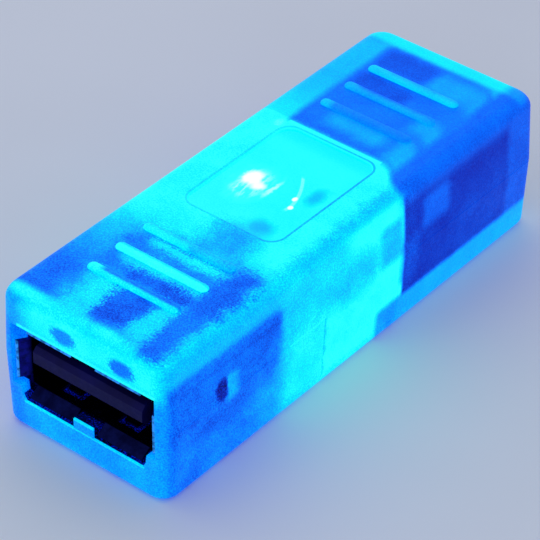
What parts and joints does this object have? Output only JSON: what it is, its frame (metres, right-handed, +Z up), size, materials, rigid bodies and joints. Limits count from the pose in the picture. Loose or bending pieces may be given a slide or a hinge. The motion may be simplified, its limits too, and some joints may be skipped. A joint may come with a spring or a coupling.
{
  "type": "inline usb coupler",
  "caption": "Box-shaped inline coupler with a frosted translucent housing, an inner lamp, grip ribs and a recessed window on top, and a data socket in each end.",
  "frame": {"origin": "centre of the bounding box's base, on the resting face", "axes": "+Y along the body from the socket A end to the socket B end, +Z up through the window side, +X across"},
  "size_m": [0.0174, 0.0476, 0.0137],
  "materials": {
    "frosted_shell": "frosted translucent blue glow, polished inside the window recess",
    "board": "solder-masked glass-fibre laminate",
    "clear_epoxy": "clear cast epoxy",
    "lead_metal": "tinned",
    "led_die": "glowing chip",
    "ceramic": "black glaze over ceramic",
    "solder": "satin solder",
    "plated_steel": "bright plated sheet",
    "contact_metal": "plated spring strip",
    "dark_insulator": "moulded, dark",
    "light_insulator": "moulded, off-white"
  },
  "bodies": {
    "root": {"housing_upper": "frosted_shell", "housing_lower": "frosted_shell", "pcb": "board", "led_lens": "clear_epoxy", "led_anode": "lead_metal", "led_cathode": "lead_metal", "led_chip": "led_die", "resistor_body": "ceramic", "resistor_cap_1": "solder", "resistor_cap_2": "solder", "usb_a_shell": "plated_steel", "usb_a_insulator": "dark_insulator", "usb_b_shell": "plated_steel", "usb_b_insulator": "light_insulator", "solder_joint_1": "solder", "solder_joint_2": "solder", "solder_joint_3": "solder", "solder_joint_4": "solder", "solder_joint_5": "solder", "solder_joint_6": "solder", "usb_a_contact_1": "contact_metal", "usb_b_contact_1": "contact_metal", "usb_a_contact_2": "contact_metal", "usb_b_contact_2": "contact_metal", "usb_a_contact_3": "contact_metal", "usb_b_contact_3": "contact_metal", "usb_a_contact_4": "contact_metal", "usb_b_contact_4": "contact_metal"}
  },
  "joints": []
}
